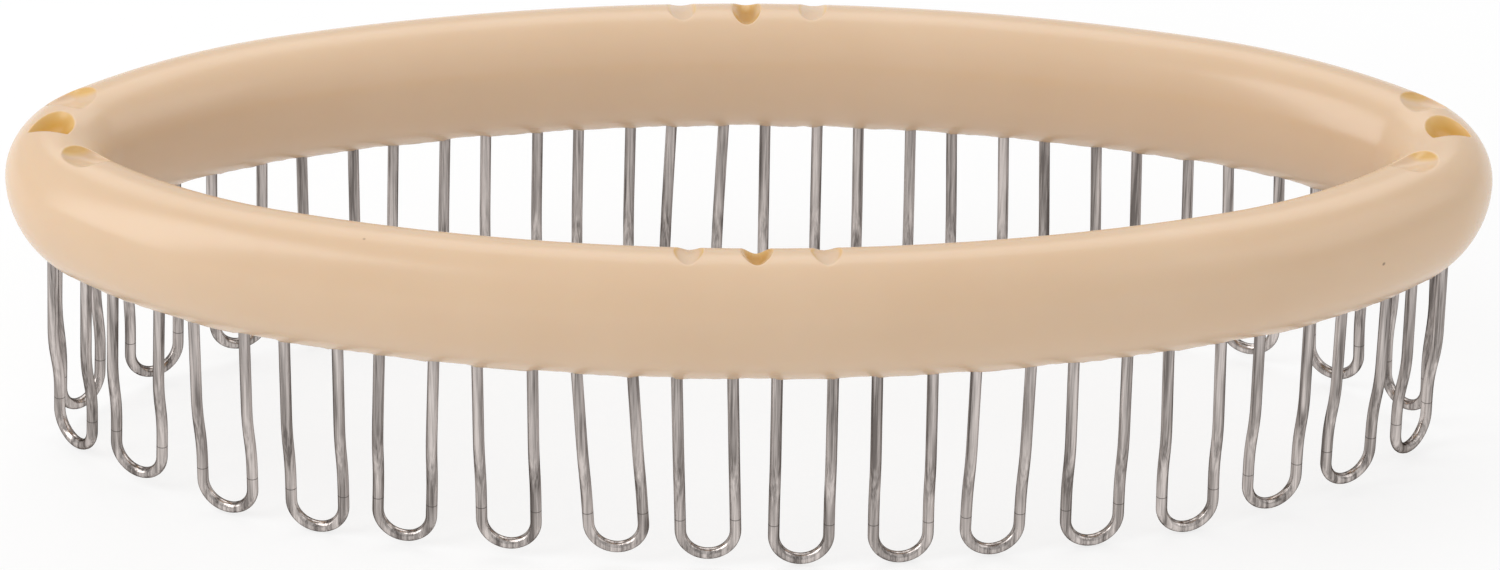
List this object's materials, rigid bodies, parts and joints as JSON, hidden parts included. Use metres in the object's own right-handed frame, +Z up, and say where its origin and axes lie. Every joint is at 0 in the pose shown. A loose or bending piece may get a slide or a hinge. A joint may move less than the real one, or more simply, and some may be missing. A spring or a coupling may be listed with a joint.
{
  "type": "pocket weaving loom",
  "caption": "Small hand loom: an oval moulded rim that carries a ring of hairpin wire loops, which the loops of the weave are hooked over.",
  "frame": {"origin": "centre of the rim in plan, at the height of the loops' tips, which the loom stands on", "axes": "+X along the long axis of the rim, +Z up from the tips of the loops to the crown of the rim"},
  "size_m": [0.15, 0.0626, 0.036],
  "materials": {
    "rim_plastic": "semi-gloss beige moulded plastic, slightly translucent",
    "loop_wire": "satin spring wire"
  },
  "bodies": {
    "root": {"rim": "rim_plastic", "wire_loop_01": "loop_wire", "wire_loop_02": "loop_wire", "wire_loop_03": "loop_wire", "wire_loop_04": "loop_wire", "wire_loop_05": "loop_wire", "wire_loop_06": "loop_wire", "wire_loop_07": "loop_wire", "wire_loop_08": "loop_wire", "wire_loop_09": "loop_wire", "wire_loop_10": "loop_wire", "wire_loop_11": "loop_wire", "wire_loop_12": "loop_wire", "wire_loop_13": "loop_wire", "wire_loop_14": "loop_wire", "wire_loop_15": "loop_wire", "wire_loop_16": "loop_wire", "wire_loop_17": "loop_wire", "wire_loop_18": "loop_wire", "wire_loop_19": "loop_wire", "wire_loop_20": "loop_wire", "wire_loop_21": "loop_wire", "wire_loop_22": "loop_wire", "wire_loop_23": "loop_wire", "wire_loop_24": "loop_wire", "wire_loop_25": "loop_wire", "wire_loop_26": "loop_wire", "wire_loop_27": "loop_wire", "wire_loop_28": "loop_wire", "wire_loop_29": "loop_wire", "wire_loop_30": "loop_wire", "wire_loop_31": "loop_wire", "wire_loop_32": "loop_wire"}
  },
  "joints": []
}
